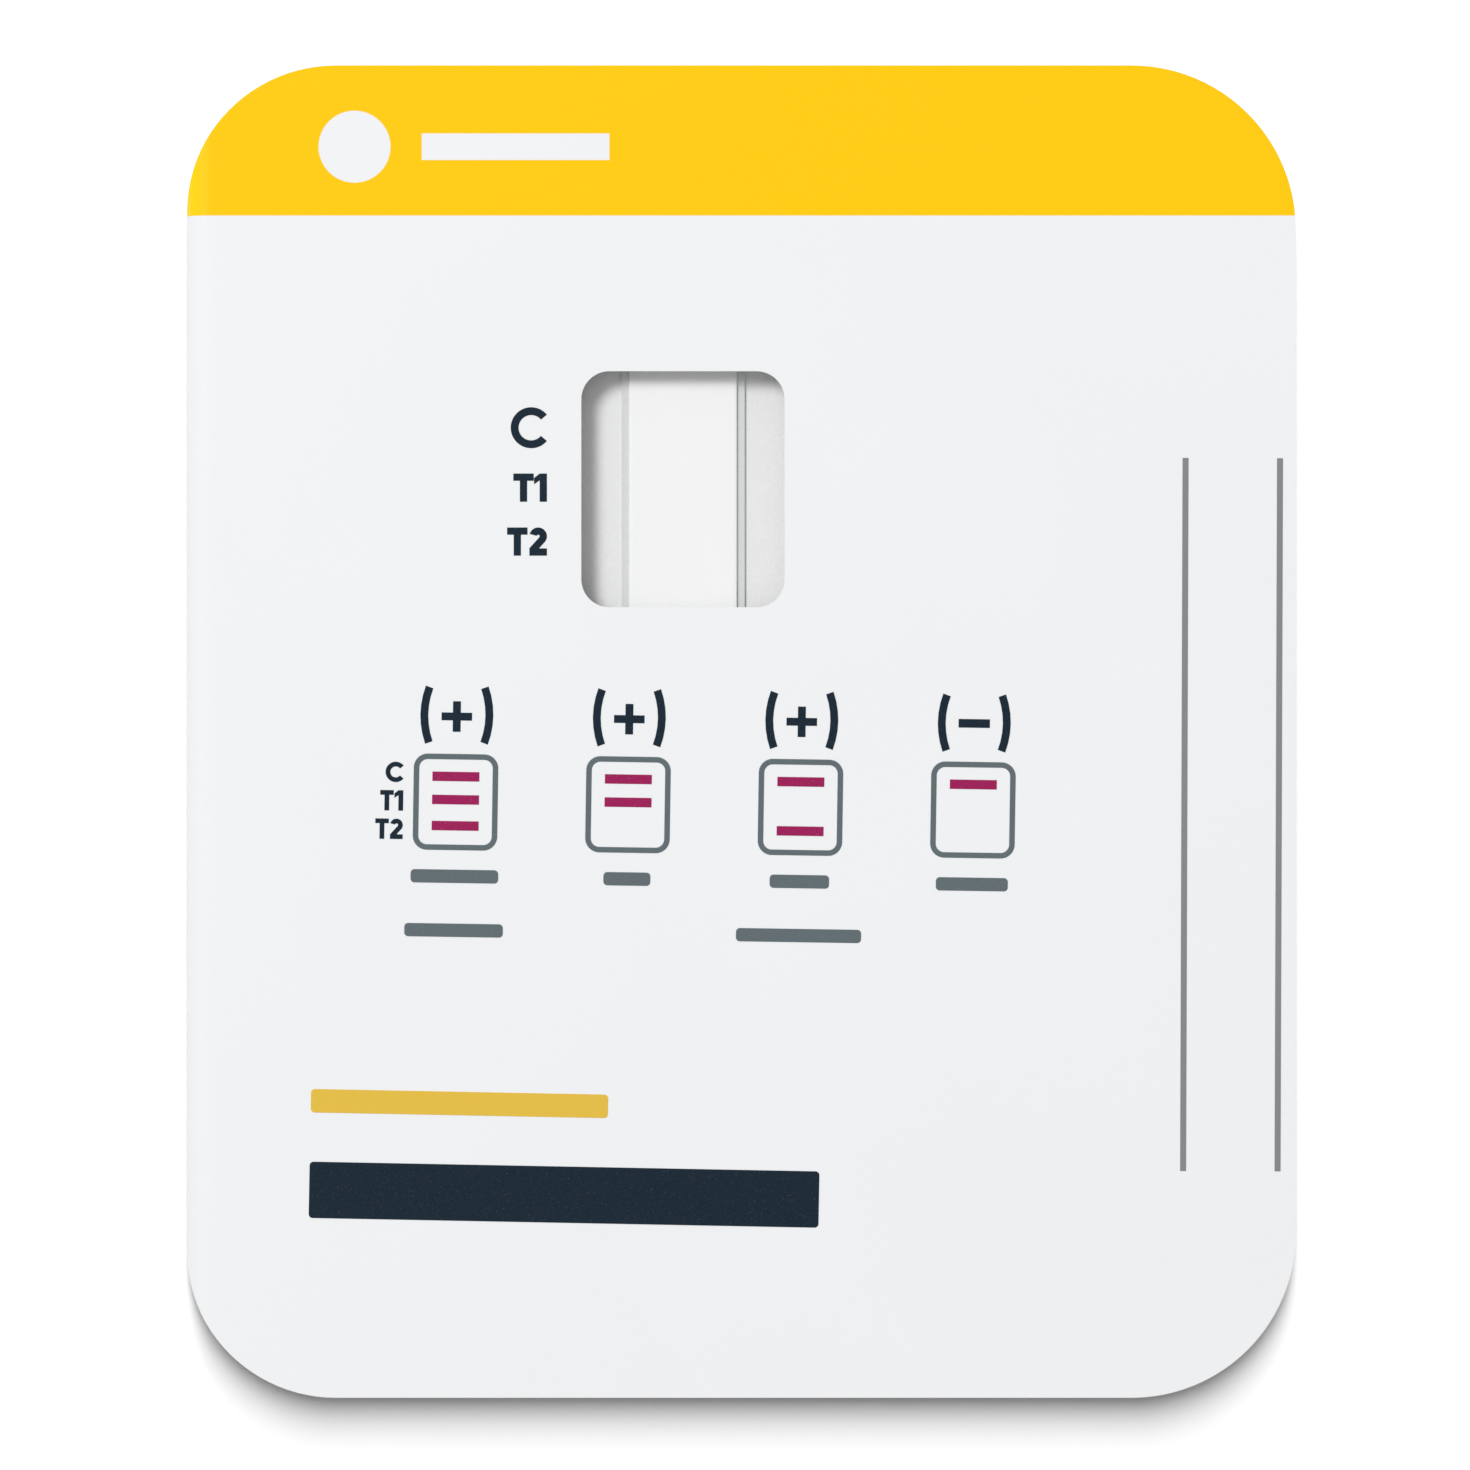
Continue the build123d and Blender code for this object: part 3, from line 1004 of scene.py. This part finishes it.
def print_mark(name, draw, place, turn, film):
    """Draws a printed mark about the origin, lays it on the front and gives it its thickness."""
    deselect_all()
    bpy.ops.mesh.primitive_plane_add(size=1)
    piece = named(name)
    edit(piece)
    bpy.ops.mesh.delete(type="VERT")
    draw(piece)
    face_all(piece, up=True)
    lay(piece, place, turn=turn)
    thicken(piece, film, offset=1)
    return piece


class TESTCARD_OT_print(bpy.types.Operator):
    """Prints the front: inks on the frame's printed fields, and the letters and signs"""

    bl_idname = "testcard.print"
    bl_label = "Print"

    def execute(self, context):
        board = context.scene.card_board
        printed = context.scene.card_print
        navy = ink("navy_ink", printed.navy, 0.06)
        grey = ink("grey_ink", printed.grey, 0.12)
        inks = {
            "key_frames": grey,
            "caption_bars": grey,
            "result_bars": ink("magenta_ink", printed.magenta, 0.12),
            "name_bar": ink("ochre_ink", printed.ochre, 0.12),
            "title_bar": navy,
            "writing_lines": ink("ruling_ink", printed.ruling, 0.15),
        }
        for node, material in inks.items():
            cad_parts[node].material_slots[0].material = material

        feet = (2.62 * MM, -0.8 * MM, -4.25 * MM)
        c_size = (2.62 * MM, 0.5 * MM)
        size = (1.8 * MM, 0.46 * MM)
        draw = letter_column(feet, c_size, size, t_width=1.3 * MM)
        window_left = SPINE_X + board.window_from_spine - board.window_width / 2
        window_y = FRONT_HIGH.y - board.window_from_top
        place = (window_left - printed.letter_gap, window_y, FRONT_HIGH.z)
        marks = [print_mark("window_letters", draw, place, 0.0, printed.film)]

        middle = (KEY_LOW + KEY_HIGH) / 2
        tilted = Matrix.Rotation(printed.key_tilt, 3, "Z")

        def print_on_key(name, draw, across, up):
            """Prints a mark by its place from the middle of the key, which is turned on the front."""
            place = tilted @ Vector((across, up, 0)) + Vector((middle.x, middle.y, FRONT_HIGH.z))
            marks.append(print_mark(name, draw, place, printed.key_tilt, printed.film))

        pictures = 4
        columns = [(i - (pictures - 1) / 2) * printed.key_pitch for i in range(pictures)]
        feet = (1.22 * MM, -0.6 * MM, -2.42 * MM)
        size = (1.3 * MM, 0.3 * MM)
        draw = letter_column(feet, size, size, t_width=0.86 * MM)
        print_on_key("key_letters", draw, columns[0] - printed.key_letter_gap, 0.0)
        for number, column in enumerate(columns, 1):
            sign = key_sign(positive=number < pictures)
            print_on_key(f"key_sign_{number}", sign, column, printed.sign_rise)
        for mark in marks:
            finish(mark, [navy], "cover", "title_ink")
        return {"FINISHED"}


# Stage


def light_from(name, direction, sides, share, floor, on_floor):
    """Lamp aimed at the card, which gives a level surface that share of a white's light.

    It lights either the floor alone or everything but the floor.
    """
    distance = bpy.context.scene.card_stage.lamp_distance
    way = Vector(direction).normalized()
    deselect_all()
    bpy.ops.object.light_add(type="AREA", location=way * distance)
    lamp = bpy.context.object
    lamp.name = name
    lamp.rotation_euler = way.to_track_quat("Z", "Y").to_euler()
    lamp.data.shape = "RECTANGLE"
    lamp.data.size, lamp.data.size_y = sides
    lamp.data.energy = share * math.pi**2 * distance**2 / way.z
    lit = bpy.data.collections.new(name + "_lights")
    lit.objects.link(floor)
    lamp.light_linking.receiver_collection = lit
    lit.collection_objects[0].light_linking.link_state = "INCLUDE" if on_floor else "EXCLUDE"


def background(strength):
    """Even white surroundings of a given strength, seen at full white."""
    world = bpy.data.worlds.new("surroundings")
    world.use_nodes = True
    bpy.context.scene.world = world
    tree = world.node_tree
    tree.nodes.clear()
    path = add_node(tree, "ShaderNodeLightPath").outputs
    shows = maths(tree, "MAXIMUM", path["Is Camera Ray"], path["Is Glossy Ray"])
    shows = maths(tree, "MAXIMUM", shows, path["Is Transmission Ray"])
    lit = ramp(tree, shows, 0.0, 1.0, strength, 1.0, smoothly=False)
    white = add_node(tree, "ShaderNodeBackground", {"Color": (1, 1, 1, 1), "Strength": lit})
    output = add_node(tree, "ShaderNodeOutputWorld")
    tree.links.new(white.outputs[0], output.inputs["Surface"])


class TESTCARD_OT_stage(bpy.types.Operator):
    """Sets out the floor, the lamps and the camera"""

    bl_idname = "testcard.stage"
    bl_label = "Stage"

    def execute(self, context):
        stage = context.scene.card_stage
        half = stage.floor_size / 2
        clear = 0.02 * MM
        floor = plane("floor", (-half, -half), (half, half), BACK_LOW.z - clear)
        material, tree, shader = new_material("white_floor", roughness=1.0, specular=0.0)
        shader.inputs["Base Color"].default_value = solid(stage.floor)
        floor.data.materials.append(material)

        light_from("card_lamp", (-0.56, 0.5, 1.0), (0.8, 0.6), stage.key, floor, on_floor=False)
        light_from("floor_lamp", (0.0, 0.7, 1.0), (0.5, 2.1), stage.wash, floor, on_floor=True)
        background(stage.sky)

        sensor = 36.0
        height = FRONT_HIGH.z + stage.view_width * stage.lens / sensor
        deselect_all()
        bpy.ops.object.camera_add(location=(stage.view_x, stage.view_y, height), rotation=(0, 0, 0))
        camera = context.object
        camera.name = "camera"
        camera.data.sensor_width = sensor
        camera.data.lens = stage.lens
        camera.data.clip_start = 0.01
        camera.data.clip_end = 10.0
        context.scene.camera = camera
        context.scene.view_settings.view_transform = "Standard"
        return {"FINISHED"}


OPERATORS = (
    TESTCARD_OT_front_board,
    TESTCARD_OT_back_board,
    TESTCARD_OT_strip,
    TESTCARD_OT_cover_pads,
    TESTCARD_OT_closure,
    TESTCARD_OT_print,
    TESTCARD_OT_stage,
)
SETTINGS = {
    "card_board": BoardSettings,
    "card_strip": StripSettings,
    "card_closure": ClosureSettings,
    "card_print": PrintSettings,
    "card_stage": StageSettings,
}


class TESTCARD_PT_panel(bpy.types.Panel):
    """Lists the card's sizes and the steps that make it"""

    bl_idname = "TESTCARD_PT_panel"
    bl_label = "Test Card"
    bl_space_type = "VIEW_3D"
    bl_region_type = "UI"
    bl_category = "Test Card"

    def draw(self, context):
        for name, group in SETTINGS.items():
            box = self.layout.box()
            for key in group.__annotations__:
                box.prop(getattr(context.scene, name), key)
        for operator in OPERATORS:
            self.layout.operator(operator.bl_idname)


CLASSES = (*SETTINGS.values(), *OPERATORS, TESTCARD_PT_panel)


def register():
    """Makes the settings, steps and panel known to Blender."""
    for item in CLASSES:
        bpy.utils.register_class(item)
    for name, group in SETTINGS.items():
        setattr(bpy.types.Scene, name, PointerProperty(type=group))


def unregister():
    """Takes the settings, steps and panel away again."""
    for name in SETTINGS:
        delattr(bpy.types.Scene, name)
    for item in reversed(CLASSES):
        bpy.utils.unregister_class(item)


def main():
    """Makes the whole card and stage."""
    register()
    for operator in OPERATORS:
        group, step = operator.bl_idname.split(".")
        getattr(getattr(bpy.ops, group), step)()
    deselect_all()


if __name__ == "__main__":
    main()
